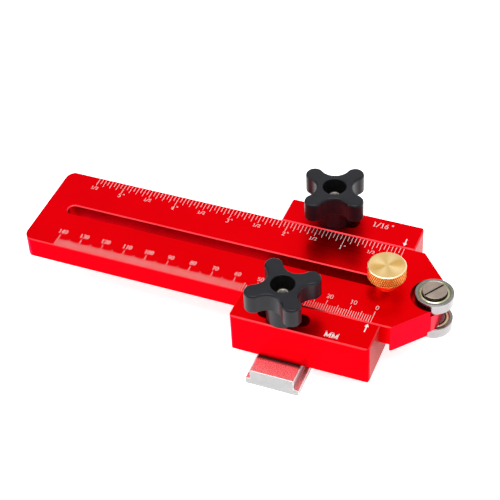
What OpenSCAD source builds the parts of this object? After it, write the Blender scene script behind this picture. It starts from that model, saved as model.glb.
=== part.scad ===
// Thin rip jig: a graduated slide bar with a pair of ball-bearing rollers at
// its tip runs in a grooved base. The base is clamped to a mitre bar below it
// by two lobed knobs, and the slide bar is locked by a knurled thumb screw.
//
// Frame: +X runs along the slide bar towards the rollers, +Y across it, +Z up.
// The origin lies on the base's underside (the saw-table plane), on the mitre
// bar's centre line, midway between the two knob bolts.

/* [Base] */
// Length of the base along the slide bar
base_len = 59; // [56:0.5:66]
// Width of the base across the slide bar
base_wid = 75; // [75:0.5:80]
// Height of the base
base_h = 19.05; // [18:0.05:22]
// Distance from the knob axes to the base's roller end
base_front = 37.8; // [36.5:0.1:39]
// Corner radius of the base in plan
base_r = 2; // [1:0.5:4]
// Chamfer along the edges of the base
base_ch = 0.5; // [0.2:0.1:0.8]
// Length of each adjusting slot in the shoulders
adj_len = 22; // [18:1:26]
// Width of each adjusting slot
adj_wid = 7; // [6.6:0.1:8]

/* [Slide bar] */
// Width of the slide bar
bar_w = 46; // [42:0.5:48]
// Thickness of the slide bar
bar_t = 10; // [9:0.1:11]
// Distance from the origin to the bar's plain end
bar_back = 121.3; // [118:0.1:130]
// Thickness of the thicker roller head
head_t = 13.3; // [12.7:0.1:13.6]
// Distance from the origin to the step behind the roller head
head_x = 41.5; // [41:0.1:42]
// Distance from the origin to where the taper's sides would meet the bar's sides
taper_x = 42; // [41.8:0.1:43]
// Distance from the origin to the flat nose
nose_x = 56.5; // [56:0.1:57]
// Half width of the nose, measured where the taper's sides would meet it
nose_hw = 6.65; // [6.2:0.05:7]
// Radius of the nose's corners
nose_r = 8; // [4:0.5:9]
// Corner radius at the plain end
bar_r = 4.5; // [2:0.5:6]
// Chamfer along the top and bottom edges
bar_ch = 0.4; // [0.2:0.1:0.6]
// Width of the long clamping slot
slot_w = 5.5; // [5.2:0.1:6.2]
// Position of the slot's plain end
slot_x0 = -111; // [-116:0.5:-110]
// Position of the slot's roller end
slot_x1 = 36.6; // [36:0.1:37.5]
// Chamfer along the rim of the clamping slot
slot_ch = 0.4; // [0.2:0.1:0.5]
// Radius of the upper roller pocket
pocket_r = 9.3; // [8.9:0.1:9.6]
// Radius of the lower roller pocket
pocket_rb = 10; // [9:0.1:10.4]
// Chamfer along the rims of the roller pockets
pocket_ch = 0.35; // [0.2:0.05:0.5]
// Depth of the upper roller pocket
pocket_top = 3.2; // [2.4:0.1:3.4]
// Depth of the lower roller pocket
pocket_bot = 1.8; // [1:0.1:2]

/* [Rollers] */
// Position of the roller axis along the bar
roll_x = 53; // [52.5:0.1:53.5]
// Outside diameter of a roller bearing
brg_od = 15.875; // [15:0.125:16.5]
// Width of a roller bearing
brg_w = 4.978; // [4.5:0.001:5.2]
// Bore of a roller bearing
brg_bore = 6.35; // [6:0.05:6.5]
// Number of balls in a bearing
ball_n = 8; // [6:1:9]
// Diameter of a ball
ball_d = 2.3; // [2:0.1:2.4]
// Diameter of the axle screw's slotted head
axle_head_d = 10.2; // [9.6:0.1:10.6]
// Height of the axle screw's head
axle_head_h = 1.4; // [1:0.1:1.6]
// Thickness of the washer below a bearing
washer_t = 0.1; // [0.1:0.05:0.4]

/* [Mitre bar] */
// Length of the mitre bar
mitre_len = 92.8; // [84:0.2:110]
// Width of the mitre bar's upper part
mitre_w = 18.8; // [18:0.1:19.05]
// Width across the mitre bar's lower flanges
flange_w = 23; // [22:0.1:23.6]
// Height of the mitre bar
mitre_h = 8; // [7:0.1:9.5]
// Thickness of the flanges
flange_t = 3.2; // [2.5:0.1:3.6]

/* [Knobs and screws] */
// Distance of a knob bolt from the centre line
knob_y = 30.75; // [30:0.25:32]
// Overall height of a knob
knob_h = 18; // [16:0.5:20]
// Radius to the tip of a knob's lobe
knob_r = 15.8; // [15:0.1:17]
// Radius of the rounded lobe tip
lobe_r = 3.8; // [3.4:0.1:4]
// Radius at the bottom of the valley between lobes
valley_r = 7.6; // [7.4:0.1:8.6]
// Height of a knob's hub below the lobes
hub_h = 9.2; // [7:0.2:10]
// Radius of a knob's hub
hub_r = 7.2; // [6.6:0.1:7.3]
// Radius of a knob's through hole
knob_bore_r = 4.9; // [4.5:0.1:5.2]
// Turn of the front knob's lobes from the bar's direction
front_turn = 37.3; // [0:0.1:90]
// Turn of the rear knob's lobes from the bar's direction
rear_turn = 62.7; // [0:0.1:90]
// Diameter of the knob bolts
bolt_d = 6; // [5:0.5:6]
// Height of the bolt's free end above the base
bolt_up = 13.3; // [11:0.1:14]
// Position of the thumb screw along the bar
thumb_x = 32.9; // [32.6:0.1:33]
// Diameter of the thumb screw's knurled head
thumb_d = 15.8; // [14:0.1:18]
// Height of the thumb screw's knurled head
thumb_head_h = 5.6; // [4:0.1:7]
// Height of the thumb screw's collar
collar_h = 5; // [4:0.1:7]
// Diameter of the thumb screw's collar
collar_d = 9.5; // [8:0.1:10]
// Diameter of the thumb screw's thread
thumb_thread_d = 5; // [4:0.5:5]

/* [Hidden] */

fit = 0.05;                               // running clearance on a radius or a side
top_z = base_h;                           // the bar's top is flush with the shoulders
floor_z = base_h - bar_t;                 // floor of the base's groove
base_back = base_front - base_len;
head_bot = base_h - head_t;
tongue_top = base_h - pocket_top;
tongue_bot = head_bot + pocket_bot;
up_z = tongue_top + washer_t;             // lower face of the upper bearing
low_z = tongue_bot - washer_t - brg_w;    // lower face of the lower bearing
pitch_r = 5.4;                            // radius of the ring of balls
race_in = 4.7;                            // shoulder of the inner ring
race_out = 6.1;                           // shoulder of the outer ring
seat_r = 6.6;                             // seat of a shield in the outer ring
shield_t = 0.3;
shield_in = 0.2;                          // shield lies this far below the ring's face
lobe_c = knob_r - lobe_r;                 // radius to the centre of a lobe's tip
// The valley's arc touches both neighbouring lobe tips: its centre lies at
// valley_d on the diagonal, and its radius is valley_d - valley_r.
lc = lobe_c * sqrt(0.5);
valley_d = (2 * lc * lc - pow(lobe_r - valley_r, 2)) / (2 * (lc - valley_r + lobe_r));
valley_arc = valley_d - valley_r;

// ---- plan and section outlines ----------------------------------------

// A square with round corners, from exact circles and squares
module round_rect(x0, x1, hw, r) {
    translate([x0 + r, -hw]) square([x1 - x0 - 2 * r, 2 * hw]);
    translate([x0, -hw + r]) square([x1 - x0, 2 * hw - 2 * r]);
    for (x = [x0 + r, x1 - r], y = [-hw + r, hw - r]) translate([x, y]) circle(r = r, $fn = 64);
}

// A slot with round ends
module slot2d(x0, x1, w) {
    translate([x0 + w / 2, -w / 2]) square([x1 - x0 - w, w]);
    for (x = [x0 + w / 2, x1 - w / 2]) translate([x, 0]) circle(r = w / 2, $fn = 64);
}

// Prism along X of an outline drawn in (y, z)
module along_x(x0, x1) translate([x0, 0, 0]) rotate([90, 0, 90]) linear_extrude(x1 - x0) children();

// Prism along Y, centred, of an outline drawn in (x, z)
module along_y(len) translate([0, len / 2, 0]) rotate([90, 0, 0]) linear_extrude(len) children();

// ---- base ---------------------------------------------------------------

module base_section() {
    w = base_wid / 2; c = base_ch; g = bar_w / 2 + fit; k = 0.4;
    polygon([[-w + c, 0], [w - c, 0], [w, c], [w, base_h - c], [w - c, base_h],
             [g + k, base_h], [g, base_h - k], [g, floor_z], [-g, floor_z],
             [-g, base_h - k], [-g - k, base_h], [-w + c, base_h], [-w, base_h - c], [-w, c]]);
}

module base() {
    color([0.80, 0.02, 0.03]) difference() {
        intersection() {
            along_x(base_back, base_front) base_section();
            linear_extrude(base_h) round_rect(base_back, base_front, base_wid / 2, base_r);
            along_y(base_wid) polygon([[base_back + base_ch, 0], [base_front - base_ch, 0],
                [base_front, base_ch], [base_front, base_h - base_ch], [base_front - base_ch, base_h],
                [base_back + base_ch, base_h], [base_back, base_h - base_ch], [base_back, base_ch]]);
        }
        // adjusting slots for the knob bolts
        for (s = [-1, 1]) translate([0, s * knob_y, -1]) linear_extrude(base_h + 2)
            slot2d(-adj_len / 2, adj_len / 2, adj_wid);
        // tapped hole for the thumb screw
        translate([thumb_x, 0, -1]) cylinder(h = floor_z + 2, r = thumb_thread_d / 2 + fit, $fn = 64);
    }
}

// ---- slide bar ------------------------------------------------------------

// Plan of the bar: round corners at the plain end, tapered sides, flat nose.
// The taper's and nose's corners are rounded by small circles.
module bar_plan() {
    h = bar_w / 2;
    a = atan2(nose_x - taper_x, h - nose_hw);        // lean of the taper
    r1 = 2; r2 = nose_r;
    t1 = r1 * tan((90 - a) / 2);                      // tangent lengths
    t2 = r2 * tan(a / 2);
    difference() {
        union() {
            translate([-bar_back + bar_r, -h]) square([bar_back - bar_r + taper_x - t1, 2 * h]);
            translate([-bar_back, -h + bar_r]) square([bar_r + 1, 2 * h - 2 * bar_r]);
            for (s = [-1, 1]) translate([-bar_back + bar_r, s * (h - bar_r)]) circle(r = bar_r, $fn = 64);
            polygon([[taper_x - t1 - 1, -h], [taper_x - t1, -h], [taper_x + t1 * sin(a), -h + t1 * cos(a)],
                     [nose_x - t2 * sin(a), -nose_hw - t2 * cos(a)], [nose_x, -nose_hw + t2],
                     [nose_x, nose_hw - t2], [nose_x - t2 * sin(a), nose_hw + t2 * cos(a)],
                     [taper_x + t1 * sin(a), h - t1 * cos(a)], [taper_x - t1, h], [taper_x - t1 - 1, h]]);
            for (s = [-1, 1]) {
                translate([taper_x - t1, s * (h - r1)]) circle(r = r1, $fn = 64);
                translate([nose_x - r2, s * (nose_hw - t2)]) circle(r = r2, $fn = 64);
            }
        }
    }
}

module bar_section(bottom) {
    h = bar_w / 2; c = bar_ch;
    polygon([[-h + c, bottom], [h - c, bottom], [h, bottom + c], [h, top_z - c], [h - c, top_z],
             [-h + c, top_z], [-h, top_z - c], [-h, bottom + c]]);
}

// Chamfer round the upper rim of the clamping slot
module slot_rim() {
    a = slot_x0 + slot_w / 2; b = slot_x1 - slot_w / 2; w = slot_w / 2; c = slot_ch;
    along_x(a, b) polygon([[-w, top_z - c], [w, top_z - c], [w + c, top_z], [w + c, top_z + 1], [-w - c, top_z + 1], [-w - c, top_z]]);
    for (x = [a, b]) translate([x, 0, top_z - c]) {
        cylinder(h = c, r1 = w, r2 = w + c, $fn = 64);
        translate([0, 0, c]) cylinder(h = 1, r = w + c, $fn = 64);
    }
}

module slide_bar() {
    color([0.84, 0.01, 0.02]) difference() {
        union() {
            intersection() {
                translate([0, 0, floor_z]) linear_extrude(bar_t) bar_plan();
                along_x(-bar_back, nose_x + 1) bar_section(floor_z);
            }
            intersection() {
                translate([0, 0, head_bot]) linear_extrude(head_t) bar_plan();
                along_x(head_x, nose_x + 1) bar_section(head_bot);
            }
        }
        // long clamping slot
        translate([0, 0, head_bot - 1]) linear_extrude(head_t + 2) slot2d(slot_x0, slot_x1, slot_w);
        slot_rim();
        // roller pockets above and below the tongue
        translate([roll_x, 0, tongue_top]) cylinder(h = 10, r = pocket_r, $fn = 96);
        translate([roll_x, 0, top_z - pocket_ch]) cylinder(h = pocket_ch, r1 = pocket_r, r2 = pocket_r + pocket_ch, $fn = 96);
        translate([roll_x, 0, tongue_bot - 10]) cylinder(h = 10, r = pocket_rb, $fn = 96);
        translate([roll_x, 0, head_bot]) cylinder(h = pocket_ch, r1 = pocket_rb + pocket_ch, r2 = pocket_rb, $fn = 96);
        // tapped hole for the two axle screws
        translate([roll_x, 0, tongue_bot - 1]) cylinder(h = tongue_top - tongue_bot + 2, r = 2.5, $fn = 48);
    }
}

// ---- mitre bar and bolts ----------------------------------------------------

module mitre_bar() {
    w = mitre_w / 2; f = flange_w / 2; c = 0.4;
    color([0.80, 0.80, 0.80]) difference() {
        along_y(mitre_len) polygon([[-w + c, 0], [w - c, 0], [w, -c], [w, -mitre_h + flange_t],
            [f - c, -mitre_h + flange_t], [f, -mitre_h + flange_t - c], [f, -mitre_h + c * 1.5], [f - c * 1.5, -mitre_h],
            [-f + c * 1.5, -mitre_h], [-f, -mitre_h + c * 1.5], [-f, -mitre_h + flange_t - c], [-f + c, -mitre_h + flange_t],
            [-w, -mitre_h + flange_t], [-w, -c]]);
        for (s = [-1, 1]) translate([0, s * knob_y, 0]) {
            translate([0, 0, -mitre_h - 1]) cylinder(h = mitre_h + 2, r = bolt_d / 2 + fit, $fn = 64);
            translate([0, 0, -mitre_h]) cylinder(h = 3.05, r1 = bolt_d / 2 + 3, r2 = bolt_d / 2, $fn = 64);
        }
    }
}

// Countersunk socket screw, head down, free end up inside the knob
module bolt(y) {
    r = bolt_d / 2; z0 = -mitre_h + 0.15; z1 = base_h + bolt_up;
    color([0.72, 0.73, 0.75]) translate([0, y, 0]) difference() {
        union() {
            translate([0, 0, z0]) cylinder(h = 2.8, r1 = r + 2.75, r2 = r, $fn = 64);
            translate([0, 0, z0]) cylinder(h = z1 - z0 - 0.9, r = r, $fn = 64);
            translate([0, 0, z1 - 0.9]) cylinder(h = 0.9, r1 = r, r2 = r - 0.6, $fn = 64);
        }
        translate([0, 0, z0 - 1]) cylinder(h = 3.2, r = 2.31, $fn = 6);
        // dimple in the rolled end
        translate([0, 0, z1 - 0.35]) cylinder(h = 0.36, r1 = 0.5, r2 = 1.5, $fn = 32);
    }
}
module front_bolt() bolt(-knob_y);
module rear_bolt() bolt(knob_y);

// ---- lobed knobs ---------------------------------------------------------------

module lobes2d() {
    // tangent point of a lobe tip and a valley arc, seen on the diagonal
    d = sqrt(pow(valley_d - lc, 2) + lc * lc);
    tx = lc + lobe_r * (valley_d - lc) / d;
    ty = lc - lobe_r * lc / d;
    difference() {
        union() {
            polygon([for (k = [0:3], s = [-1, 1]) let (a = 45 + 90 * k)
                [tx * cos(a) - s * ty * sin(a), tx * sin(a) + s * ty * cos(a)]]);
            for (k = [0:3]) rotate(90 * k) translate([lobe_c, 0]) circle(r = lobe_r, $fn = 64);
        }
        // a hair over the touching radius, so that the outlines cross cleanly
        for (k = [0:3]) rotate(45 + 90 * k) translate([valley_d, 0]) circle(r = valley_arc + 0.012, $fn = 96);
    }
}

module knob(y, turn) {
    color([0.12, 0.12, 0.13]) translate([0, y, base_h]) difference() {
        union() {
            translate([0, 0, hub_h]) linear_extrude(knob_h - hub_h) rotate(turn) lobes2d();
            cylinder(h = hub_h + 0.5, r = hub_r, $fn = 96);
        }
        translate([0, 0, -1]) cylinder(h = knob_h + 2, r = knob_bore_r, $fn = 96);
    }
}
module front_knob() knob(-knob_y, front_turn);
module rear_knob() knob(knob_y, rear_turn);

// Threaded insert moulded into the hub
module insert(y) {
    color([0.78, 0.62, 0.30]) translate([0, y, base_h + 0.1]) difference() {
        cylinder(h = 7.9, r = knob_bore_r, $fn = 96);
        translate([0, 0, -1]) cylinder(h = 10, r = bolt_d / 2 + fit, $fn = 64);
    }
}
module front_knob_insert() insert(-knob_y);
module rear_knob_insert() insert(knob_y);

// ---- thumb screw ------------------------------------------------------------------

module thumb_screw() {
    R = thumb_d / 2; c = collar_d / 2; t = thumb_thread_d / 2;
    z0 = 1.5; z1 = top_z; z2 = z1 + collar_h; z3 = z2 + thumb_head_h;
    color([0.80, 0.62, 0.28]) translate([thumb_x, 0, 0]) rotate_extrude($fn = 96)
        polygon([[0, z0], [t - 0.5, z0], [t, z0 + 0.5], [t, z1], [c, z1], [c, z2],
                 [R - 0.4, z2], [R, z2 + 0.4], [R, z3 - 0.3], [R - 0.3, z3], [0, z3]]);
}

// ---- ball-bearing rollers --------------------------------------------------------

// Each bearing part is drawn with its lower face at z = 0 on the roller axis
module place(z) translate([roll_x, 0, z]) children();

module outer_ring() {
    R = brg_od / 2; c = 0.35; e = shield_in + shield_t;
    rotate_extrude($fn = 96) difference() {
        polygon([[seat_r, 0], [R - c, 0], [R, c], [R, brg_w - c], [R - c, brg_w], [seat_r, brg_w],
                 [seat_r, brg_w - e], [race_out, brg_w - e], [race_out, e], [seat_r, e]]);
        translate([pitch_r, brg_w / 2]) circle(r = ball_d / 2 + 0.07, $fn = 48);
    }
}

module inner_ring() {
    r = brg_bore / 2; c = 0.25;
    rotate_extrude($fn = 96) difference() {
        polygon([[r + c, 0], [race_in - 0.1, 0], [race_in, 0.1], [race_in, brg_w - 0.1], [race_in - 0.1, brg_w],
                 [r + c, brg_w], [r, brg_w - c], [r, c]]);
        translate([pitch_r, brg_w / 2]) circle(r = ball_d / 2 + 0.07, $fn = 48);
    }
}

module balls() {
    for (i = [0:ball_n - 1]) rotate(i * 360 / ball_n) translate([pitch_r, 0, brg_w / 2])
        sphere(r = ball_d / 2, $fn = 32);
}

// Crown cage: a thin ring with a round pocket for each ball
module cage() {
    difference() {
        translate([0, 0, brg_w / 2 - 0.9]) difference() {
            cylinder(h = 2.6, r = 5.8, $fn = 96);
            translate([0, 0, -1]) cylinder(h = 5, r = 5.0, $fn = 96);
        }
        for (i = [0:ball_n - 1]) rotate(i * 360 / ball_n) translate([pitch_r, 0, brg_w / 2])
            sphere(r = ball_d / 2 + 0.05, $fn = 32);
    }
}

module shield() {
    rotate_extrude($fn = 96) translate([race_in + 0.25, 0]) square([seat_r - race_in - 0.25, shield_t]);
}

module washer() {
    difference() {
        cylinder(h = washer_t, r = 4.6, $fn = 64);
        translate([0, 0, -1]) cylinder(h = 3, r = 2.6, $fn = 64);
    }
}

// Slotted axle screw, drawn with its head's seat at z = 0 and its thread down
module axle_screw(turn) {
    L = brg_w; t = (tongue_top - tongue_bot) / 2 + washer_t - 0.1;
    difference() {
        union() {
            rotate_extrude($fn = 96) polygon([[0, -L], [brg_bore / 2 - 0.02, -L], [brg_bore / 2 - 0.02, 0],
                [axle_head_d / 2, 0], [axle_head_d / 2, axle_head_h - 0.2], [axle_head_d / 2 - 0.2, axle_head_h], [0, axle_head_h]]);
            translate([0, 0, -L - t]) cylinder(h = t + 0.5, r = 2.5, $fn = 48);
        }
        rotate(turn) translate([-10, -0.4, axle_head_h - 0.8]) cube([20, 0.8, 2]);
    }
}

steel = [0.70, 0.70, 0.70];
module upper_outer_ring() color(steel) place(up_z) outer_ring();
module upper_inner_ring() color(steel) place(up_z) inner_ring();
module upper_balls() color([0.85, 0.85, 0.87]) place(up_z) balls();
module upper_cage() color([0.62, 0.60, 0.55]) place(up_z) cage();
module upper_top_shield() color([0.78, 0.77, 0.68]) place(up_z + brg_w - shield_in - shield_t) shield();
module upper_bottom_shield() color([0.78, 0.77, 0.68]) place(up_z + shield_in) shield();
module upper_axle_screw() color([0.68, 0.65, 0.61]) place(up_z + brg_w) axle_screw(56);
module upper_washer() color(steel) place(tongue_top) washer();

module lower_outer_ring() color(steel) place(low_z) outer_ring();
module lower_inner_ring() color(steel) place(low_z) inner_ring();
module lower_balls() color([0.85, 0.85, 0.87]) place(low_z) rotate(15) balls();
module lower_cage() color([0.62, 0.60, 0.55]) place(low_z) rotate(15) cage();
module lower_top_shield() color([0.78, 0.77, 0.68]) place(low_z + brg_w - shield_in - shield_t) shield();
module lower_bottom_shield() color([0.78, 0.77, 0.68]) place(low_z + shield_in) shield();
module lower_axle_screw() color([0.68, 0.65, 0.61]) place(low_z) mirror([0, 0, 1]) axle_screw(62);
module lower_washer() color(steel) place(tongue_bot - washer_t) washer();

base();
slide_bar();
mitre_bar();
front_bolt();
rear_bolt();
front_knob();
rear_knob();
front_knob_insert();
rear_knob_insert();
thumb_screw();
upper_outer_ring();
upper_inner_ring();
upper_balls();
upper_cage();
upper_top_shield();
upper_bottom_shield();
upper_axle_screw();
upper_washer();
lower_outer_ring();
lower_inner_ring();
lower_balls();
lower_cage();
lower_top_shield();
lower_bottom_shield();
lower_axle_screw();
lower_washer();
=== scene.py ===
import bpy, bmesh, math
from mathutils import Vector, Matrix


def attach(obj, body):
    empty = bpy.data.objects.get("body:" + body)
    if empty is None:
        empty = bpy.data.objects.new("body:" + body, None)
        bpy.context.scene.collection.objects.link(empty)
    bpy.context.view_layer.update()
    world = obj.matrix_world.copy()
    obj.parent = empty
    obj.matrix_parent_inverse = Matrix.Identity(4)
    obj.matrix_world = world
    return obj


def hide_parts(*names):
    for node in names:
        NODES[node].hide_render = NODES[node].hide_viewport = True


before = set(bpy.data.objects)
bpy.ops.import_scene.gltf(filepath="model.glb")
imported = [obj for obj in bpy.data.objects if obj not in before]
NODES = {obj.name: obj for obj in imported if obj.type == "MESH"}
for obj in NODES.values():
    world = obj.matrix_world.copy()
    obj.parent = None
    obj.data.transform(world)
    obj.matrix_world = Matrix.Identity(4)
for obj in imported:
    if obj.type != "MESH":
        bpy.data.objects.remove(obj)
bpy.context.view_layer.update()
MM = 0.001
scene = bpy.context.scene

# ---------------------------------------------------------------- dimensions (mm)
TOP = 19.05            # top of the bar and of the base's shoulders
KNOB_Y = 30.75
KNOB_TOP = 37.05
HUB_TOP = 28.25
KNOB_BORE = 4.9
BOLT_TOP = 32.35
THUMB_X = 32.9
ROLL_X = 53.0
UP_Z = 15.95           # lower face of the upper bearing
LOW_Z = 2.472          # lower face of the lower bearing
BRG_W = 4.978
BRG_R = 7.9375
ZERO_X = 33.5          # the scales' zero

# ---------------------------------------------------------------- material helpers
class Mat:
    """A small helper that wires up one procedural material."""

    def __init__(self, name):
        self.m = bpy.data.materials.new(name)
        self.m.use_nodes = True
        self.t = self.m.node_tree
        self.t.nodes.clear()
        self.out = self.add("ShaderNodeOutputMaterial")
        self.b = self.add("ShaderNodeBsdfPrincipled")
        self.link(self.b.outputs["BSDF"], self.out.inputs["Surface"])
        self.co = self.add("ShaderNodeTexCoord").outputs["Object"]

    def add(self, kind, **props):
        n = self.t.nodes.new(kind)
        for k, v in props.items():
            setattr(n, k, v)
        return n

    def link(self, a, b):
        self.t.links.new(a, b)

    def set(self, **values):
        for k, v in values.items():
            self.b.inputs[k.replace("_", " ")].default_value = v

    def noise(self, scale, detail=2.0, rough=0.5, stretch=None, source=None):
        n = self.add("ShaderNodeTexNoise")
        n.inputs["Scale"].default_value = scale
        n.inputs["Detail"].default_value = detail
        n.inputs["Roughness"].default_value = rough
        src = source or self.co
        if stretch:
            mp = self.add("ShaderNodeMapping")
            mp.inputs["Scale"].default_value = stretch
            self.link(src, mp.inputs["Vector"])
            src = mp.outputs["Vector"]
        self.link(src, n.inputs["Vector"])
        return n.outputs["Fac"]

    def ramp(self, fac, stops):
        r = self.add("ShaderNodeValToRGB")
        el = r.color_ramp.elements
        while len(el) < len(stops):
            el.new(0.5)
        for e, (p, c) in zip(el, stops):
            e.position = p
            e.color = (*c, 1.0) if len(c) == 3 else c
        self.link(fac, r.inputs["Fac"])
        return r.outputs["Color"]

    def value(self, fac, lo, hi, a=0.0, b=1.0):
        r = self.add("ShaderNodeMapRange")
        r.inputs["From Min"].default_value = a
        r.inputs["From Max"].default_value = b
        r.inputs["To Min"].default_value = lo
        r.inputs["To Max"].default_value = hi
        self.link(fac, r.inputs["Value"])
        return r.outputs["Result"]

    def math(self, op, a, b=None):
        n = self.add("ShaderNodeMath", operation=op)
        for i, v in enumerate((a, b)):
            if v is None:
                continue
            if isinstance(v, (int, float)):
                n.inputs[i].default_value = v
            else:
                self.link(v, n.inputs[i])
        return n.outputs["Value"]

    def mix(self, fac, a, b, blend="MIX"):
        n = self.add("ShaderNodeMix", data_type="RGBA", blend_type=blend)
        for key, v in (("Factor", fac), ("A", a), ("B", b)):
            sock = [s for s in n.inputs if s.name == key and s.enabled][0]
            if isinstance(v, (int, float)):
                sock.default_value = v
            elif isinstance(v, (tuple, list)):
                sock.default_value = (*v, 1.0)
            else:
                self.link(v, sock)
        return [s for s in n.outputs if s.enabled][0]

    def bump(self, height, strength, distance):
        n = self.add("ShaderNodeBump")
        n.inputs["Strength"].default_value = strength
        n.inputs["Distance"].default_value = distance
        self.link(height, n.inputs["Height"])
        prev = self.b.inputs["Normal"]
        if prev.is_linked:
            self.link(prev.links[0].from_socket, n.inputs["Normal"])
        self.link(n.outputs["Normal"], prev)

    def color(self, sock):
        self.link(sock, self.b.inputs["Base Color"])

    def rough(self, sock):
        self.link(sock, self.b.inputs["Roughness"])


def red_anodised(name, base, deep, rough_lo, rough_hi, metallic, tint=(1.0, 0.50, 0.68, 1.0)):
    """Dyed anodised aluminium: satin, with faint extrusion lines and fine grain."""
    m = Mat(name)
    m.set(Metallic=metallic, Specular_Tint=tint)
    cloud = m.noise(38.0, 3.0, 0.55)
    lines = m.noise(900.0, 2.0, 0.5, stretch=(0.02, 1.0, 1.0))
    grain = m.noise(5200.0, 2.0, 0.6)
    m.color(m.mix(m.value(cloud, 0.0, 1.0, 0.3, 0.72), base, deep))
    r1 = m.value(lines, rough_lo, rough_hi, 0.25, 0.75)
    m.rough(m.math("ADD", r1, m.value(grain, -0.03, 0.03)))
    m.bump(grain, 0.10, 0.00002)
    m.bump(lines, 0.05, 0.00002)
    return m.m


RED = red_anodised("red_anodised", (0.82, 0.0004, 0.0018), (0.76, 0.0003, 0.0012), 0.30, 0.37, 1.0)
# painted highlight: a lighter, pinker copy of the red for the chamfers and the outer faces round the rollers
RED_HIGHLIGHT_PAINTED = red_anodised("red_anodised_painted_highlight", (0.98, 0.060, 0.075), (0.90, 0.045, 0.055), 0.26, 0.34, 1.0)
# painted shade: a darker copy of the red for the rollers' pocket walls
RED_POCKET_SHADE_PAINTED = red_anodised("red_anodised_pocket_painted_shade", (0.26, 0.0006, 0.002), (0.19, 0.0005, 0.0015), 0.36, 0.44, 1.0)
# painted shade: a darker, greyer copy of the red for the end faces
RED_END_SHADE_PAINTED = red_anodised("red_anodised_end_painted_shade", (0.36, 0.0180, 0.0160), (0.30, 0.0150, 0.0130), 0.32, 0.40, 1.0, (1.0, 0.80, 0.80, 1.0))
# painted shade: a darker copy of the red for the taper side
RED_TAPER_SHADE_PAINTED = red_anodised("red_anodised_taper_painted_shade", (0.54, 0.0040, 0.0120), (0.49, 0.0030, 0.0090), 0.30, 0.37, 1.0)
# painted shade: a darker copy of the red for the slot's walls
RED_SLOT_SHADE_PAINTED = red_anodised("red_anodised_slot_painted_shade", (0.52, 0.0006, 0.002), (0.42, 0.0005, 0.0015), 0.36, 0.44, 1.0)


def make_mark():
    """Laser-marked metal: off-white, matt, with the beam's fine hatching."""
    m = Mat("laser_mark")
    m.set(Metallic=0.0, Specular_IOR_Level=0.3)
    hatch = m.noise(9000.0, 1.0, 0.5, stretch=(0.15, 1.0, 1.0))
    blot = m.noise(700.0, 2.0, 0.6)
    c = m.ramp(hatch, [(0.3, (0.62, 0.56, 0.55)), (0.65, (0.76, 0.73, 0.72))])
    m.color(m.mix(m.value(blot, 0.0, 0.35, 0.45, 0.8), c, (0.64, 0.44, 0.43)))
    m.rough(m.value(blot, 0.5, 0.7))
    m.bump(hatch, 0.2, 0.00001)
    return m.m


MARK = make_mark()


def make_black():
    """Moulded black plastic with a fine spark-eroded grain."""
    m = Mat("black_moulded_plastic")
    m.set(Specular_IOR_Level=0.22, IOR=1.5, Metallic=0.0)
    grain = m.noise(3800.0, 3.0, 0.6)
    soft = m.noise(160.0, 2.0, 0.5)
    m.color(m.ramp(soft, [(0.35, (0.0055, 0.0058, 0.0085)), (0.7, (0.0085, 0.0090, 0.0125))]))
    m.rough(m.value(grain, 0.28, 0.39, 0.3, 0.7))
    m.bump(grain, 0.22, 0.00003)
    m.bump(soft, 0.10, 0.0002)
    return m.m


BLACK = make_black()


def make_bore():
    """The moulding's bore: the same plastic, drawn matt by the core pin, with a darker colour as painted shade inside
    the hole.
    """
    m = Mat("black_plastic_bore_painted_shade")
    m.set(Specular_IOR_Level=0.15, IOR=1.5)
    lines = m.noise(1500.0, 2.0, 0.5, stretch=(1.0, 1.0, 0.05))
    m.color(m.ramp(lines, [(0.35, (0.003, 0.003, 0.0035)), (0.7, (0.006, 0.006, 0.007))]))
    m.rough(m.value(lines, 0.45, 0.65))
    m.bump(lines, 0.1, 0.00003)
    return m.m


BORE_SHADE_PAINTED = make_bore()


def make_brass(name, col_lo, col_hi, r0, r1, aniso=0.0):
    m = Mat(name)
    m.set(Metallic=1.0, Anisotropic=aniso)
    fine = m.noise(2500.0, 2.0, 0.6)
    tone = m.noise(120.0, 2.0, 0.5)
    m.color(m.ramp(tone, [(0.35, col_lo), (0.7, col_hi)]))
    m.rough(m.value(fine, r0, r1, 0.3, 0.7))
    if aniso:
        t = m.add("ShaderNodeTangent", direction_type="RADIAL", axis="Z")
        m.link(t.outputs["Tangent"], m.b.inputs["Tangent"])
    m.bump(fine, 0.05, 0.00001)
    return m


BRASS_SIDE = make_brass("brass_knurled", (0.89, 0.43, 0.085), (0.97, 0.55, 0.145), 0.24, 0.34).m


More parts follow.
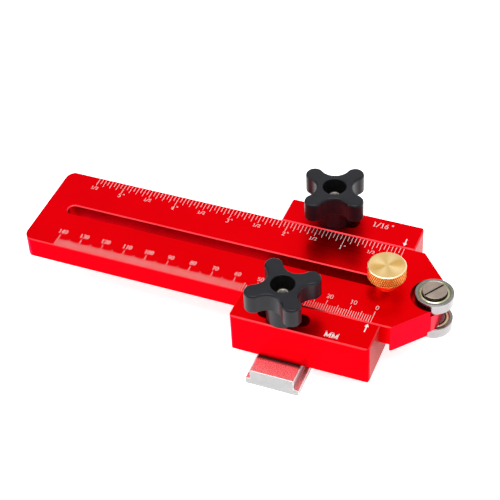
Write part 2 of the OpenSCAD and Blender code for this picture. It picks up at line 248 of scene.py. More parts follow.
def make_brass_top():
    """Faced end of the thumb screw: concentric turning marks round its own axis, and light and dark sectors round that
    axis painted into the colour as painted sheen.
    """
    m = make_brass("brass_turned_face_painted_sheen", (0.80, 0.53, 0.20), (0.88, 0.61, 0.26), 0.25, 0.34, 0.8)
    sep = m.add("ShaderNodeSeparateXYZ")
    m.link(m.co, sep.inputs[0])
    dx = m.math("SUBTRACT", sep.outputs["X"], THUMB_X * MM)
    rr = m.math("SQRT", m.math("ADD", m.math("MULTIPLY", dx, dx), m.math("MULTIPLY", sep.outputs["Y"], sep.outputs["Y"])))
    rings = m.math("SINE", m.math("MULTIPLY", rr, 2 * math.pi / 0.00016))
    m.bump(rings, 0.05, 0.00001)
    # painted sheen: two- and four-fold light and dark sectors round the axis, faded towards the hub and the rim,
    # painted into the colour
    turn = m.math("ARCTAN2", sep.outputs["Y"], dx)
    painted_sheen_two = m.math("COSINE", m.math("SUBTRACT", m.math("MULTIPLY", turn, 2.0), math.radians(74)))
    painted_sheen_four = m.math("COSINE", m.math("SUBTRACT", m.math("MULTIPLY", turn, 4.0), math.radians(128)))
    tone = m.math("ADD", m.math("MULTIPLY", painted_sheen_two, 0.24), m.math("MULTIPLY", painted_sheen_four, 0.32))
    hub = m.value(rr, 0.0, 1.0, 0.0004, 0.0018)
    rim = m.value(rr, 1.0, 0.35, 0.0045, 0.0072)
    fac = m.math("ADD", m.math("MULTIPLY", m.math("MULTIPLY", tone, hub), rim), 0.5)
    m.color(m.ramp(fac, [(0.15, (0.90, 0.665, 0.325)), (0.85, (0.66, 0.405, 0.120))]))
    return m.m


BRASS_TOP_SHEEN_PAINTED = make_brass_top()
# painted shade: a dark copy of the brass for the bottoms of the knurl's grooves
BRASS_GROOVE_SHADE_PAINTED = make_brass("brass_knurl_groove_painted_shade", (0.26, 0.082, 0.015), (0.36, 0.125, 0.024), 0.35, 0.5).m
# painted light: a lighter copy of the brass for the collar, which is also rougher
BRASS_COLLAR_LIGHT_PAINTED = make_brass("brass_collar_painted_light", (0.98, 0.50, 0.13), (1.0, 0.60, 0.20), 0.34, 0.46).m
# painted highlight: a pale copy of the brass for the rounded rim of the head
BRASS_RIM_HIGHLIGHT_PAINTED = make_brass("brass_rim_painted_highlight", (0.90, 0.76, 0.46), (0.97, 0.84, 0.55), 0.30, 0.42).m


def make_steel(name, lo, hi, r0, r1, scale=1800.0, stretch=None, metallic=1.0, bump=0.06):
    m = Mat(name)
    m.set(Metallic=metallic)
    fine = m.noise(scale, 3.0, 0.6, stretch=stretch)
    tone = m.noise(260.0, 3.0, 0.6)
    m.color(m.ramp(tone, [(0.3, lo), (0.72, hi)]))
    m.rough(m.value(fine, r0, r1, 0.3, 0.7))
    m.bump(fine, bump, 0.00001)
    return m.m


RING = make_steel("bearing_steel", (0.20, 0.193, 0.180), (0.28, 0.272, 0.255), 0.24, 0.36)
RING_SIDE = make_steel("bearing_steel_ground", (0.315, 0.298, 0.302), (0.365, 0.347, 0.351), 0.21, 0.26, 3200.0, None, 1.0, 0.02)
BALL = make_steel("ball_steel", (0.66, 0.66, 0.67), (0.74, 0.74, 0.75), 0.05, 0.10)
CAGE = make_steel("cage_steel", (0.40, 0.37, 0.32), (0.50, 0.47, 0.42), 0.32, 0.45)
SHIELD = make_steel("shield_steel", (0.44, 0.425, 0.27), (0.56, 0.545, 0.38), 0.20, 0.30)
SCREW = make_steel("slotted_screw_steel", (0.31, 0.250, 0.210), (0.42, 0.335, 0.280), 0.34, 0.48, 1500.0, (1.0, 0.35, 1.0), 1.0, 0.12)
# painted shade: a near-black copy of the screw steel for the sides of the screw heads
SCREW_SIDE_SHADE_PAINTED = make_steel("screw_side_painted_shade", (0.030, 0.023, 0.018), (0.060, 0.047, 0.038), 0.34, 0.48)
ZINC = make_steel("zinc_plated_steel", (0.40, 0.37, 0.335), (0.50, 0.465, 0.42), 0.30, 0.42)
# painted shade: a dark copy of the zinc for the dimple in the stud's end
ZINC_DIMPLE_SHADE_PAINTED = make_steel("zinc_dimple_painted_shade", (0.10, 0.092, 0.078), (0.16, 0.148, 0.128), 0.42, 0.55)
BRASS_PLAIN = make_brass("brass_insert", (0.62, 0.44, 0.17), (0.74, 0.54, 0.24), 0.30, 0.42).m


def make_blasted(name, lo, hi, speckle_and_glint, corner_shade_painted):
    """Bead-blasted bare aluminium: bright, matt, with tiny dimples in the bump, and light and dark specks painted into
    the colour as painted glints and painted shade.
    """
    m = Mat(name)
    m.set(Metallic=1.0)
    v = m.add("ShaderNodeTexVoronoi")
    v.inputs["Scale"].default_value = 2600.0
    m.link(m.co, v.inputs["Vector"])
    fine = m.noise(3400.0, 3.0, 0.65)
    tone = m.noise(300.0, 3.0, 0.6)
    c = m.ramp(tone, [(0.3, lo), (0.7, hi)])
    dimple_and_glint_spots = m.noise(2100.0, 1.0, 0.5)
    # painted glints and painted shade: light and dark specks mixed into the colour
    c = m.mix(m.value(dimple_and_glint_spots, 0.0, speckle_and_glint, 0.42, 0.62), c, (0.95, 0.95, 0.95))
    c = m.mix(m.value(dimple_and_glint_spots, speckle_and_glint, 0.0, 0.36, 0.50), c, (0.22, 0.22, 0.22))
    if corner_shade_painted:
        # painted shade: a dark strip in the corner where the runner meets the base
        sep = m.add("ShaderNodeSeparateXYZ")
        m.link(m.co, sep.inputs[0])
        edge = m.value(m.math("ABSOLUTE", sep.outputs["Y"]), 0.9, 0.0, 0.0383, 0.0395)
        c = m.mix(m.math("MULTIPLY", edge, m.value(sep.outputs["Z"], 0.0, 1.0, -0.0012, -0.0003)), c, (0.03, 0.025, 0.025))
    m.color(c)
    m.rough(m.value(fine, 0.32, 0.46, 0.3, 0.7))
    m.bump(v.outputs["Distance"], 0.22, 0.00004)
    m.bump(fine, 0.30, 0.00005)
    m.bump(dimple_and_glint_spots, 0.5 * speckle_and_glint, 0.00008)
    return m.m


BLASTED = make_blasted("blasted_aluminium", (0.72, 0.73, 0.735), (0.82, 0.83, 0.835), 0.52, True)
# painted shade: a darker copy of the aluminium for the runner's end faces
ALU_END_SHADE_PAINTED = make_blasted("aluminium_end_painted_shade", (0.33, 0.33, 0.33), (0.37, 0.37, 0.37), 0.03, False)

# painted shade: a darker copy of the aluminium for the runner's sides
ALU_SIDE_SHADE_PAINTED = make_blasted("aluminium_side_painted_shade", (0.34, 0.34, 0.345), (0.42, 0.42, 0.425), 0.06, False)

# ---------------------------------------------------------------- mesh helpers
def to_object(name, me, body, mats, stands_for=(), angle=None, weighted=False):
    for m in mats:
        me.materials.append(m)
    me.polygons.foreach_set("use_smooth", [True] * len(me.polygons))
    if angle is not None:
        me.set_sharp_from_angle(angle=math.radians(angle))
    me.update()
    o = bpy.data.objects.new(name, me)
    scene.collection.objects.link(o)
    if weighted:
        w = o.modifiers.new("weighted", "WEIGHTED_NORMAL")
        w.mode = "FACE_AREA"
        w.weight = 80
        w.keep_sharp = True
    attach(o, body)
    if stands_for:
        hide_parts(*stands_for)
    return o


def from_data(name, verts, faces, body, mats, stands_for=(), angle=35.0, index=None, weighted=False):
    me = bpy.data.meshes.new(name)
    me.from_pydata([(x * MM, y * MM, z * MM) for x, y, z in verts], [], faces)
    if index:
        me.polygons.foreach_set("material_index", index)
    bm = bmesh.new()
    bm.from_mesh(me)
    bmesh.ops.recalc_face_normals(bm, faces=bm.faces)
    bm.to_mesh(me)
    bm.free()
    return to_object(name, me, body, mats, stands_for, angle, weighted)


def finished_copy(node, name, body, mats, bevel, segments=2, edge_index=0, rule=None, min_angle=25.0, upright=0.0, smooth=50.0):
    """The CAD solid's own faces, welded and with every sharp edge softened."""
    me = NODES[node].data.copy()
    me.name = name
    me.materials.clear()
    bm = bmesh.new()
    bm.from_mesh(me)
    bmesh.ops.remove_doubles(bm, verts=bm.verts, dist=2e-6)
    bmesh.ops.dissolve_limit(bm, angle_limit=math.radians(0.6), verts=bm.verts, edges=bm.edges)
    for f in bm.faces:
        f.material_index = rule(f) if rule else 0
    if upright:
        posts = [e for e in bm.edges if len(e.link_faces) == 2 and e.calc_face_angle(0.0) > math.radians(25.0)
                 and all(abs(f.normal.z) < 0.1 for f in e.link_faces) and e.calc_length() > 4 * MM]
        bmesh.ops.bevel(bm, geom=posts, offset=upright * MM, offset_type="OFFSET", segments=4, profile=0.5,
                        affect="EDGES", clamp_overlap=True)
    sharp = [e for e in bm.edges if len(e.link_faces) == 2 and e.calc_face_angle(0.0) > math.radians(min_angle)]
    bmesh.ops.bevel(bm, geom=sharp, offset=bevel * MM, offset_type="OFFSET", segments=segments, profile=0.5,
                    affect="EDGES", clamp_overlap=True, material=edge_index)
    bmesh.ops.recalc_face_normals(bm, faces=bm.faces)
    out = bpy.data.meshes.new(name)
    bm.to_mesh(out)
    bm.free()
    bpy.data.meshes.remove(me)
    return to_object(name, out, body, mats, (node,), smooth, True)


def lathe(profile, n, cx=0.0, cy=0.0, closed=True, radius=None):
    """Rings round a vertical axis. profile is a list of (r, z); radius(i, r, z, a) may change r."""
    verts, faces, rings = [], [], []
    for i, (r, z) in enumerate(profile):
        if r < 1e-6:
            rings.append([len(verts)])
            verts.append((cx, cy, z))
            continue
        row = []
        for k in range(n):
            a = 2 * math.pi * k / n
            q = radius(i, r, z, a) if radius else r
            row.append(len(verts))
            verts.append((cx + q * math.cos(a), cy + q * math.sin(a), z))
        rings.append(row)
    m = len(rings)
    for i in range(m if closed else m - 1):
        a, b = rings[i], rings[(i + 1) % m]
        if len(a) == 1 and len(b) == 1:
            continue
        for k in range(n):
            k2 = (k + 1) % n
            if len(a) == 1:
                faces.append((a[0], b[k], b[k2]))
            elif len(b) == 1:
                faces.append((a[k], b[0], a[k2]))
            else:
                faces.append((a[k], b[k], b[k2], a[k2]))
    return verts, faces


def round_corner(p0, p1, p2, r, n=4):
    """Points that round the corner at p1 of a profile."""
    a, b, c = Vector(p0), Vector(p1), Vector(p2)
    u, v = (a - b).normalized(), (c - b).normalized()
    ang = u.angle(v)
    t = r / math.tan(ang / 2)
    t = min(t, (a - b).length * 0.49, (c - b).length * 0.49)
    r = t * math.tan(ang / 2)
    s, e = b + u * t, b + v * t
    mid = (u + v).normalized()
    centre = b + mid * (r / math.sin(ang / 2))
    out = []
    va, vb = s - centre, e - centre
    tot = va.angle(vb)
    for k in range(n + 1):
        f = k / n
        w = (va * math.sin((1 - f) * tot) + vb * math.sin(f * tot)) / math.sin(tot)
        out.append(tuple(centre + w))
    return out


def rounded_profile(pts, radii, n=4):
    """Closed profile with a rounding at each corner (0 keeps the corner)."""
    out = []
    m = len(pts)
    for i, (p, r) in enumerate(zip(pts, radii)):
        if r:
            out += round_corner(pts[i - 1], p, pts[(i + 1) % m], r, n)
        else:
            out.append(p)
    return out

# ---------------------------------------------------------------- camera
cam = bpy.data.cameras.new("camera")
cam_ob = bpy.data.objects.new("camera", cam)
scene.collection.objects.link(cam_ob)
rot = Matrix(((0.929736696, -0.221275227, 0.294324567),
              (0.36597925, 0.643437461, -0.672344719),
              (-0.040606222, 0.732820242, 0.679209561)))
cam_ob.matrix_world = Matrix.Translation((0.16201883, -0.43015334, 0.45425706)) @ rot.to_4x4()
cam.sensor_fit = "HORIZONTAL"
cam.sensor_width = 36.0
cam.lens = 110.80826
cam.shift_x = -0.001
cam.shift_y = 0.001
cam.clip_start = 0.01
cam.clip_end = 20.0
scene.camera = cam_ob

# ---------------------------------------------------------------- base and slide bar
def tilted(f):
    """Material index per face, with light and shade painted in: the chamfers and the outer faces round the rollers get
    the lighter red as painted highlight; the rollers' pockets, the slot's walls, the end faces and the taper side get
    darker copies as painted shade.
    """
    if 0.2 < abs(f.normal.z) < 0.95:
        return 1
    c = f.calc_center_median()
    near = math.hypot(c.x - ROLL_X * MM, c.y) < 10.2 * MM
    inside = f.normal.x * (ROLL_X * MM - c.x) + f.normal.y * (0 - c.y) > 0
    if abs(f.normal.z) < 0.2 and near and inside:
        return 2
    if abs(f.normal.z) < 0.2 and all(abs(v.co.y) < 3.3 * MM and -112 * MM < v.co.x < 38 * MM for v in f.verts):
        return 5
    if abs(f.normal.z) < 0.2 and near and f.normal.x > 0.3:
        return 1
    if abs(f.normal.z) < 0.2 and 0.3 < f.normal.x < 0.75 and c.x > 38 * MM:
        return 4
    return 3 if abs(f.normal.x) > 0.9 else 0


finished_copy("base", "base_body", "base", [RED, RED_HIGHLIGHT_PAINTED, RED_POCKET_SHADE_PAINTED, RED_END_SHADE_PAINTED, RED_TAPER_SHADE_PAINTED, RED_SLOT_SHADE_PAINTED], 0.16, 1, 1, tilted, 50.0, smooth=20.0)
finished_copy("slide_bar", "slide_bar_body", "slide_bar", [RED, RED_HIGHLIGHT_PAINTED, RED_POCKET_SHADE_PAINTED, RED_END_SHADE_PAINTED, RED_TAPER_SHADE_PAINTED, RED_SLOT_SHADE_PAINTED], 0.14, 1, 1, tilted, 50.0, smooth=22.8)
# the runner's end faces and sides take the darker aluminium copies as painted shade
finished_copy("mitre_bar", "mitre_bar_body", "runner", [BLASTED, ALU_END_SHADE_PAINTED, ALU_SIDE_SHADE_PAINTED], 0.22, 2, 0,
              lambda f: 1 if abs(f.normal.y) > 0.9 else (2 if abs(f.normal.x) > 0.9 else 0))

# ---------------------------------------------------------------- laser marks
class Marks:
    """Strokes drawn on a level surface, each one a thin closed plate."""

    def __init__(self, z):
        self.v, self.f, self.z0, self.z1 = [], [], z - 0.03, z + 0.012

    def plate(self, left, right):
        """A ribbon between two rows of points."""
        n = len(left)
        s = len(self.v)
        for (lx, ly), (rx, ry) in zip(left, right):
            self.v += [(lx, ly, self.z1), (rx, ry, self.z1), (lx, ly, self.z0), (rx, ry, self.z0)]
        for i in range(n - 1):
            a, b = s + 4 * i, s + 4 * i + 4
            self.f += [(a, a + 1, b + 1, b), (a + 2, b + 2, b + 3, a + 3), (a, b, b + 2, a + 2), (a + 1, a + 3, b + 3, b + 1)]
        e = s + 4 * (n - 1)
        self.f += [(s, s + 2, s + 3, s + 1), (e, e + 1, e + 3, e + 2)]

    def stroke(self, pts, stem, hair):
        """A pen stroke whose width depends on its direction, as a broad nib's does."""
        left, right = [], []
        n = len(pts)
        for i in range(n):
            a, b = pts[max(i - 1, 0)], pts[min(i + 1, n - 1)]
            dx, dy = b[0] - a[0], b[1] - a[1]
            d = math.hypot(dx, dy)
            dx, dy = dx / d, dy / d
            w = 0.5 * math.sqrt((stem * dy) ** 2 + (hair * dx) ** 2)
            left.append((pts[i][0] - dy * w, pts[i][1] + dx * w))
            right.append((pts[i][0] + dy * w, pts[i][1] - dx * w))
        self.plate(left, right)

    def box(self, x0, y0, x1, y1):
        self.plate([(x0, y0), (x0, y1)], [(x1, y0), (x1, y1)])

    def glyph(self, ch, x, y, h, stem, hair, slant=0.0):
        for path in GLYPHS[ch][1]:
            self.stroke([(x + (px + slant * py) * h, y + py * h) for px, py in path], stem, hair)
        return GLYPHS[ch][0] * h

    def text(self, s, x, y, h, stem, hair, gap=0.0, centre=True):
        wid = sum(GLYPHS[c][0] * h for c in s) + gap * (len(s) - 1)
        if centre:
            x -= wid / 2
        for c in s:
            x += self.glyph(c, x, y, h, stem, hair) + gap

    def make(self, name, body):
        return from_data(name, self.v, self.f, body, [MARK], (), 30.0)


def arc(cx, cy, rx, ry, a0, a1, n=14):
    return [(cx + rx * math.cos(math.radians(a0 + (a1 - a0) * k / n)),
             cy + ry * math.sin(math.radians(a0 + (a1 - a0) * k / n))) for k in range(n + 1)]


# Serifed figures in a box one unit high: (advance, strokes)
GLYPHS = {
    "0": (0.60, [arc(0.30, 0.50, 0.21, 0.46, 90, 452, 26)]),
    "1": (0.60, [[(0.31, 0.03), (0.31, 0.96)], [(0.14, 0.80), (0.22, 0.86), (0.31, 0.96)], [(0.13, 0.03), (0.31, 0.03), (0.49, 0.03)]]),
    "2": (0.60, [[(0.10, 0.72)] + arc(0.29, 0.70, 0.19, 0.26, 165, -20, 12) + [(0.36, 0.42), (0.22, 0.22), (0.09, 0.06)],
                 [(0.08, 0.05), (0.30, 0.05), (0.50, 0.05)], [(0.50, 0.03), (0.52, 0.20)]]),
    "3": (0.60, [arc(0.28, 0.74, 0.18, 0.22, 160, -90, 14), arc(0.27, 0.28, 0.22, 0.25, 95, -160, 16)]),
    "4": (0.60, [[(0.37, 0.95), (0.22, 0.62), (0.06, 0.30)], [(0.05, 0.29), (0.30, 0.29), (0.55, 0.29)], [(0.38, 0.96), (0.38, 0.03)],
                 [(0.24, 0.03), (0.38, 0.03), (0.52, 0.03)]]),
    "5": (0.60, [[(0.16, 0.94), (0.32, 0.94), (0.48, 0.96)], [(0.16, 0.95), (0.14, 0.75), (0.12, 0.55)], arc(0.27, 0.33, 0.22, 0.29, 130, -150, 18)]),
    "6": (0.60, [arc(0.30, 0.29, 0.20, 0.26, 0, 360, 22), [(0.47, 0.90), (0.34, 0.86), (0.20, 0.70), (0.12, 0.50), (0.10, 0.30)]]),
    "7": (0.60, [[(0.10, 0.93), (0.30, 0.93), (0.52, 0.93)], [(0.10, 0.94), (0.09, 0.78)], [(0.51, 0.92), (0.38, 0.62), (0.27, 0.30), (0.24, 0.03)]]),
    "8": (0.60, [arc(0.30, 0.73, 0.17, 0.21, 0, 360, 20), arc(0.30, 0.28, 0.21, 0.25, 0, 360, 22)]),
    "9": (0.60, [arc(0.30, 0.69, 0.20, 0.26, 0, 360, 22), [(0.50, 0.68), (0.48, 0.48), (0.40, 0.28), (0.26, 0.12), (0.12, 0.07)]]),
    "/": (0.52, [[(0.04, -0.05), (0.26, 0.48), (0.48, 1.02)]]),
    '"': (0.40, [[(0.12, 1.0), (0.12, 0.72)], [(0.28, 1.0), (0.28, 0.72)]]),
    "M": (1.02, [[(0.17, 0.03), (0.17, 0.96)], [(0.85, 0.03), (0.85, 0.96)], [(0.17, 0.95), (0.34, 0.50), (0.51, 0.05)], [(0.51, 0.05), (0.68, 0.50), (0.85, 0.95)],
                 [(0.05, 0.03), (0.17, 0.03), (0.31, 0.03)], [(0.70, 0.03), (0.85, 0.03), (0.98, 0.03)], [(0.05, 0.96), (0.17, 0.96), (0.22, 0.96)], [(0.81, 0.96), (0.85, 0.96), (0.98, 0.96)]]),
}

bar_marks = Marks(TOP)
for m in range(0, 141):
    x = ZERO_X - m
    end = -16.4 if m % 10 == 0 else (-17.9 if m % 5 == 0 else -19.0)
    bar_marks.box(x - 0.08, -22.62, x + 0.08, end)
for m in range(0, 141, 10):
    bar_marks.text(str(m), ZERO_X - m + (0.25 if m else 0.15), -15.35, 2.4, 0.18, 0.10, 0.0)
for k in range(0, 89):
    x = ZERO_X - k * 25.4 / 16
    end = 16.5 if k % 16 == 0 else (17.75 if k % 2 == 0 else 19.25)
    bar_marks.box(x - 0.085, end, x + 0.085, 22.3)
for k in range(0, 89, 8):
    x = ZERO_X - k * 25.4 / 16
    if k % 16 == 8:
        bar_marks.text("1/2", x + 0.1, 15.15, 1.9, 0.175, 0.11, 0.05)
    elif k:
        bar_marks.text(str(k // 16), x, 13.75, 2.4, 0.215, 0.12)
        bar_marks.text('"', x + 1.55, 13.95, 2.35, 0.18, 0.12)
bar_marks.make("bar_scale_marks", "slide_bar")


def arrow(marks, x, tip, tail, w=0.24, head=0.86, neck=None):
    s = 1 if tip > tail else -1
    neck = tip - s * 1.6
    marks.plate([(x - w, tail), (x - w, neck)], [(x + w, tail), (x + w, neck)])
    marks.plate([(x - head, neck), (x - 0.03, tip)], [(x + head, neck), (x + 0.03, tip)])


base_marks = Marks(TOP)
arrow(base_marks, 32.85, -23.95, -28.5)
arrow(base_marks, 32.75, 24.05, 28.4)
base_marks.text("MM", 21.4, -35.8, 3.0, 0.42, 0.18, -0.1)
base_marks.text("1/16", 19.8, 31.6, 3.0, 0.32, 0.16, 0.05)
base_marks.text('"', 24.75, 31.7, 3.0, 0.26, 0.16)
base_marks.make("base_unit_marks", "base")

# ---------------------------------------------------------------- lobed knobs
LOBE_C, LOBE_R, VALLEY_R = 12.0, 3.8, 7.6
LC = LOBE_C * math.sqrt(0.5)
VALLEY_D = (2 * LC * LC - (LOBE_R - VALLEY_R) ** 2) / (2 * (LC - VALLEY_R + LOBE_R))
VALLEY_ARC = VALLEY_D - VALLEY_R


def lobe_outline(turn, inset, n_tip=20, n_val=28):
    """The four-lobed outline moved inwards by inset, with the same points for every inset."""
    out = []
    vc = (VALLEY_D * math.sqrt(0.5), VALLEY_D * math.sqrt(0.5))
    a_join = math.atan2(vc[1], vc[0] - LOBE_C)               # direction from the tip's centre to the valley's
    for q in range(4):
        base = math.radians(turn + 90 * q)
        ca, sa = math.cos(base), math.sin(base)
        pts = []
        for k in range(n_tip):
            a = -a_join + 2 * a_join * k / n_tip
            pts.append((LOBE_C + (LOBE_R - inset) * math.cos(a), (LOBE_R - inset) * math.sin(a)))
        s = a_join + math.pi
        e = (math.pi / 2 - s) + math.pi * 0 + 2 * math.pi      # the valley mirrors itself about the diagonal
        for k in range(n_val):
            a = s + (e - s) * k / n_val
            pts.append((vc[0] + (VALLEY_ARC + inset) * math.cos(a), vc[1] + (VALLEY_ARC + inset) * math.sin(a)))
        out += [(x * ca - y * sa, x * sa + y * ca) for x, y in pts]
    return out


def knob(name, y, turn, body, node):
    rings = []
    ref = lobe_outline(turn, 0.0)
    ang = [math.atan2(b, a) for a, b in ref]

    def circle(r, z):
        rings.append([(r * math.cos(a), r * math.sin(a), z) for a in ang])

    def lobes(inset, z):
        rings.append([(a, b, z) for a, b in lobe_outline(turn, inset)])

    hub, rt, rb = 7.2, 1.0, 0.22
    # bore, from the top down to the underside
    for k in range(5):
        t = math.radians(90 * k / 4)
        circle(KNOB_BORE + 0.35 * (1 - math.sin(t)), KNOB_TOP - 0.35 * (1 - math.cos(t)))
    circle(KNOB_BORE, 33.0)
    circle(KNOB_BORE, 27.0)
    circle(KNOB_BORE, TOP)
    circle(hub - 0.5, TOP)
    for k in range(4):
        t = math.radians(90 * k / 3)
        circle(hub - 0.5 + 0.5 * math.sin(t), TOP + 0.5 * (1 - math.cos(t)))
    circle(hub + 0.12, 24.0)
    circle(hub + 0.28, HUB_TOP - 0.3)
    circle(hub + 0.34, HUB_TOP)
    # underside of the lobes, rounded lower edge, side, rounded upper edge
    for k in range(5):
        t = math.radians(90 * k / 4)
        lobes(max(rb * (1 - math.sin(t)), 0.0) if k else rb * 0.62, HUB_TOP + rb * (1 - math.cos(t)))
    lobes(0.0, 31.0)
    lobes(0.0, 34.0)
    for k in range(9):
        t = math.radians(90 * k / 8)
        lobes(rt * (1 - math.cos(t)), KNOB_TOP - rt + rt * math.sin(t))
    # top face, drawn in towards the bore
    edge = lobe_outline(turn, rt)
    for f in (0.85, 0.5, 0.15):
        row = []
        for (ex, ey), a in zip(edge, ang):
            cx, cy = (KNOB_BORE + 0.35) * math.cos(a), (KNOB_BORE + 0.35) * math.sin(a)
            row.append((cx + (ex - cx) * f, cy + (ey - cy) * f, KNOB_TOP))
        rings.append(row)
    n = len(ang)
    verts = [(a, y + b, z) for row in rings for a, b, z in row]
    faces = []
    m = len(rings)
    for i in range(m):
        j = (i + 1) % m
        for k in range(n):
            k2 = (k + 1) % n
            faces.append((i * n + k, j * n + k, j * n + k2, i * n + k2))
    # the bore's rows take the darker bore material: painted shade inside the hole
    index = [1 if 4 <= f // n < 7 else 0 for f in range(len(faces))]
    return from_data(name, verts, faces, body, [BLACK, BORE_SHADE_PAINTED], (node,), 40.0, index, True)


knob("front_knob_grip", -KNOB_Y, 37.3, "front_knob", "front_knob")
knob("rear_knob_grip", KNOB_Y, 62.7, "rear_knob", "rear_knob")

# ---------------------------------------------------------------- threads
def threaded(pitch, depth, z_from, z_to):
    """A radius rule that cuts a helical thread between two heights."""
    def rule(i, r, z, a):
        f = (z / pitch - a / (2 * math.pi)) % 1.0
        tri = abs(2 * f - 1)                       # 1 in the groove, 0 on the crest
        cut = max(0.0, (tri - 0.12) / 0.88)
        fade = min(1.0, max(0.0, (z - z_from) / pitch), max(0.0, (z_to - z) / (0.8 * pitch)))
        return r - depth * cut * fade
    return rule


def bolt(name, y, body, node):
    r, z0 = 3.0, -7.85
    prof = [(0.0, z0 + 2.2), (2.0, z0 + 2.2), (2.0, z0)]
    prof += [(5.55, z0), (5.75, z0 + 0.15), (3.0, z0 + 2.8)]
    z = z0 + 3.4
    while z < BOLT_TOP - 0.95:
        prof.append((r, z))
        z += 0.125
    prof += [(3.0, BOLT_TOP - 0.9), (2.7, BOLT_TOP - 0.45), (2.46, BOLT_TOP - 0.1), (2.34, BOLT_TOP), (1.55, BOLT_TOP),
             (1.42, BOLT_TOP - 0.12), (0.9, BOLT_TOP - 0.3), (0.0, BOLT_TOP - 0.35)]
    rule = threaded(1.0, 0.42, 2.0, BOLT_TOP - 0.3)

    def shape(i, q, z, a):
        if i in (1, 2):                            # hexagon socket
            w = (a % (math.pi / 3)) - math.pi / 6
            return 2.0 / math.cos(w)
        return rule(i, q, z, a) if 5 < i < len(prof) - 8 else q

    v, f = lathe(prof, 60, 0.0, y, False, shape)
    # the rows at the end's centre take the dark dimple zinc as painted shade
    index = [1 if k // 60 >= len(prof) - 4 else 0 for k in range(len(f))]
    return from_data(name, v, f, body, [ZINC, ZINC_DIMPLE_SHADE_PAINTED], (node,), 45.0, index)


bolt("front_stud", -KNOB_Y, "runner", "front_bolt")
bolt("rear_stud", KNOB_Y, "runner", "rear_bolt")

# ---------------------------------------------------------------- thumb screw
def thumb_screw():
    R, c, t = 7.9, 4.75, 2.5
    z_col0, z_head0, z_head1 = TOP, 24.05, 29.65
    prof, kind = [], []

    def put(r, z, k="plain"):
        prof.append((r, z))
        kind.append(k)

    put(0.0, 1.5)
    put(t - 0.55, 1.5)
    put(t - 0.05, 2.0)
    z = 2.1
    while z < 8.8:
        put(t, z, "thread")
        z += 0.1
    put(t, 9.0)
    put(t, z_col0)
    put(c - 0.2, z_col0)
    for k in range(4):
        a = math.radians(30 * k)
        put(c - 0.2 + 0.2 * math.sin(a), z_col0 + 0.2 * (1 - math.cos(a)))
    put(c, 21.5)
    put(c, z_head0 - 0.3)
    for k in range(1, 4):
        a = math.radians(30 * k)
        put(c + 0.3 * (1 - math.cos(a)), z_head0 - 0.3 + 0.3 * math.sin(a))
    put(R - 0.62, z_head0)
    put(R - 0.5, z_head0 + 0.05)
    n_z = 50
    lo, hi = z_head0 + 0.34, z_head1 - 0.42
    put(R - 0.16, z_head0 + 0.26)
    for k in range(n_z + 1):
        put(R, lo + (hi - lo) * k / n_z, "knurl")
    rim_from = len(prof)
    put(R - 0.04, z_head1 - 0.34)
    put(R - 0.10, z_head1 - 0.26)
    put(R - 0.28, z_head1 - 0.09)
    put(R - 0.38, z_head1 - 0.015)
    put(R - 0.48, z_head1)
    put(R * 0.6, z_head1)
    put(R * 0.25, z_head1)
    put(0.0, z_head1)
    thread = threaded(0.8, 0.3, 2.0, 9.0)
    teeth = 54

    def shape(i, r, z, a):
        if kind[i] == "thread":
            return thread(i, r, z, a)
        if kind[i] == "knurl":
            u = a * teeth / (2 * math.pi)
            w = (z - lo) / 2.15
            h1 = 1 - abs(2 * ((u + w) % 1.0) - 1)
            h2 = 1 - abs(2 * ((u - w) % 1.0) - 1)
            fade = min(1.0, (z - lo) / 0.25 + 0.25, (hi - z) / 0.25 + 0.25)
            relief[(i, round(a * n / (2 * math.pi)))] = min(h1, h2)
            return r - 0.36 * (1 - min(1.0, 1.5 * min(h1, h2))) * fade
        return r

    n, relief = 480, {}
    v, f = lathe(prof, n, THUMB_X, 0.0, False, shape)
    # the first and last rows of the profile are points, so the rows of faces follow the profile's steps
    index = []
    for k in range(len(f)):
        row, col = k // n, k % n
        # the deepest knurl faces take the dark groove brass as painted shade
        groove_shade = kind[row] == "knurl" and relief.get((row, col), 1.0) + relief.get((row, (col + 1) % n), 1.0) < 0.48
        # the collar's rows take the lighter collar brass as painted light
        collar = TOP - 0.01 <= prof[row][1] < z_head0 - 0.05
        # the rim's rows take the pale rim brass as painted highlight
        index.append(4 if rim_from <= row < rim_from + 4 else (1 if row >= rim_from else (3 if collar else (2 if groove_shade else 0))))
    return from_data("thumb_screw_turned", v, f, "thumb_screw", [BRASS_SIDE, BRASS_TOP_SHEEN_PAINTED, BRASS_GROOVE_SHADE_PAINTED, BRASS_COLLAR_LIGHT_PAINTED, BRASS_RIM_HIGHLIGHT_PAINTED], ("thumb_screw",), 38.0, index)


thumb_screw()

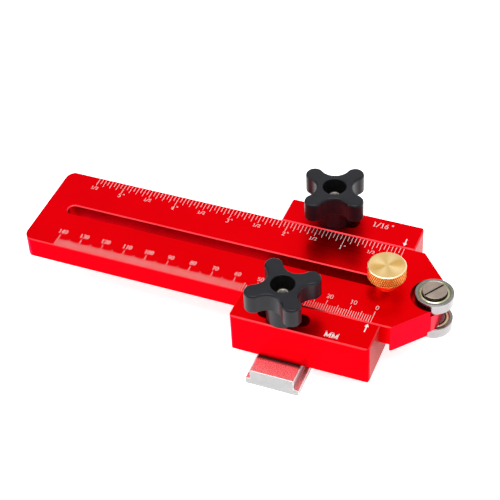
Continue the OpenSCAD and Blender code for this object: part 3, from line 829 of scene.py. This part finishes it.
# ---------------------------------------------------------------- bearings
def bearing(prefix, z, up):
    """up is 1 where the slotted head is above, -1 where it is below."""
    def place(pts):
        return [(r, z + (h if up > 0 else BRG_W - h)) for r, h in pts]

    n = 144
    # outer ring: broken corners, ground rim
    R = BRG_R
    pts = [(6.55, 0.0), (R, 0.0), (R, BRG_W), (6.55, BRG_W), (6.55, BRG_W - 0.5), (6.1, BRG_W - 0.5), (6.1, 0.5), (6.55, 0.5)]
    radii = [0.1, 0.38, 0.38, 0.1, 0.0, 0.05, 0.05, 0.0]
    prof = rounded_profile(pts, radii, 5)
    v, f = lathe(place(prof), n, ROLL_X, 0.0, True)
    index = []
    for k in range(len(f)):
        i = k // n
        a, b = prof[i], prof[(i + 1) % len(prof)]
        index.append(1 if abs(a[0] - R) < 0.02 and abs(b[0] - R) < 0.02 else 0)
    from_data(prefix + "_ring", v, f, prefix + "_roller", [RING, RING_SIDE], (prefix + "_outer_ring",), 32.0, index)
    # shields: a rolled rim, a shallow groove and a flat web
    for side, tag in ((1, "_top_shield" if up > 0 else "_bottom_shield"), (-1, "_bottom_shield" if up > 0 else "_top_shield")):
        outer = [(6.58, -0.42), (6.56, -0.12), (6.48, -0.05), (6.40, -0.08), (6.31, -0.24), (6.20, -0.36), (6.09, -0.36), (5.98, -0.25),
                 (5.84, -0.15), (5.66, -0.09), (5.46, -0.08), (5.28, -0.11), (5.14, -0.19), (5.04, -0.31), (4.98, -0.46)]
        inner = [(r, h - 0.16) for r, h in reversed(outer[1:-1])]
        body = outer + [(4.98, -0.60)] + inner
        body = [(r, (BRG_W + h) if side > 0 else -h) for r, h in body]
        v, f = lathe(place(body), n, ROLL_X, 0.0, True)
        from_data(prefix + tag + "_pressed", v, f, prefix + "_roller", [SHIELD], (prefix + tag,), 60.0)


bearing("upper", UP_Z, 1)
bearing("lower", LOW_Z, -1)
for p in ("upper", "lower"):
    # the screw heads' sides take the near-black side steel as painted shade
    finished_copy(p + "_axle_screw", p + "_axle_screw_turned", "slide_bar", [SCREW, SCREW_SIDE_SHADE_PAINTED], 0.09, 2, 0,
                  lambda f: 1 if abs(f.normal.z) < 0.3 else 0)
    for node, mat in ((p + "_inner_ring", RING), (p + "_balls", BALL), (p + "_cage", CAGE), (p + "_washer", RING)):
        NODES[node].data.materials.clear()
        NODES[node].data.materials.append(mat)
for node in ("front_knob_insert", "rear_knob_insert"):
    NODES[node].data.materials.clear()
    NODES[node].data.materials.append(BRASS_PLAIN)

# ---------------------------------------------------------------- floor and light
def make_floor():
    m = Mat("pale_floor")
    m.set(Specular_IOR_Level=0.2)
    g = m.noise(40.0, 3.0, 0.5)
    m.color(m.ramp(g, [(0.3, (0.89, 0.89, 0.89)), (0.7, (0.91, 0.91, 0.91))]))
    m.rough(m.value(g, 0.55, 0.7))
    # lit from behind as well, like a light table
    m.set(Emission_Color=(1.0, 1.0, 1.0, 1.0), Emission_Strength=0.74)
    return m.m


fm = bpy.data.meshes.new("floor")
s = 3.0
fm.from_pydata([(-s, -s, -0.008), (s, -s, -0.008), (s, s, -0.008), (-s, s, -0.008)], [], [(0, 1, 2, 3)])
fm.materials.append(make_floor())
floor = bpy.data.objects.new("floor", fm)
scene.collection.objects.link(floor)


def area(name, loc, target, size, power, col=(1, 1, 1), size_y=None):
    d = bpy.data.lights.new(name, "AREA")
    d.energy = power
    d.color = col
    d.size = size
    if size_y:
        d.shape = "RECTANGLE"
        d.size_y = size_y
    o = bpy.data.objects.new(name, d)
    scene.collection.objects.link(o)
    o.matrix_world = Matrix.Translation(loc) @ (Vector(loc) - Vector(target)).to_track_quat("Z", "Y").to_matrix().to_4x4()
    return o


area("overhead", (0.05, -0.35, 1.2), (0, 0, 0), 1.0, 10.5, size_y=0.8)
area("left_fill", (-1.0, -0.45, 0.6), (0, 0, 0), 0.8, 4.5)
area("right_fill", (0.9, -0.7, 0.5), (0, 0, 0), 0.6, 1.2)
area("edge_light", (-0.35, -0.82, 0.85), (0, 0, 0), 0.6, 1.3, size_y=0.5)

# a studio whose walls fall off towards the floor's horizon
world = bpy.data.worlds.new("studio")
scene.world = world
world.use_nodes = True
wt = world.node_tree
wt.nodes.clear()
wo = wt.nodes.new("ShaderNodeOutputWorld")
wb = wt.nodes.new("ShaderNodeBackground")
wc = wt.nodes.new("ShaderNodeTexCoord")
wx = wt.nodes.new("ShaderNodeVectorMath")
wx.operation = "DOT_PRODUCT"
wx.inputs[1].default_value = (0.22, 0.38, 1.0)
wr = wt.nodes.new("ShaderNodeValToRGB")
wr.color_ramp.interpolation = "EASE"
wall = wr.color_ramp.elements
wall.new(0.5)
for e, (pos, c) in zip(wall, ((0.24, 0.02), (0.48, 0.45), (0.72, 1.0))):
    e.position = pos
    e.color = (c, c, c, 1.0)
wt.links.new(wc.outputs["Generated"], wx.inputs[0])
wt.links.new(wx.outputs["Value"], wr.inputs["Fac"])
wt.links.new(wr.outputs["Color"], wb.inputs["Color"])
wb.inputs["Strength"].default_value = 1.02
wt.links.new(wb.outputs[0], wo.inputs[0])
scene.view_settings.view_transform = "Standard"
scene.view_settings.look = "None"
scene.view_settings.exposure = 0.0
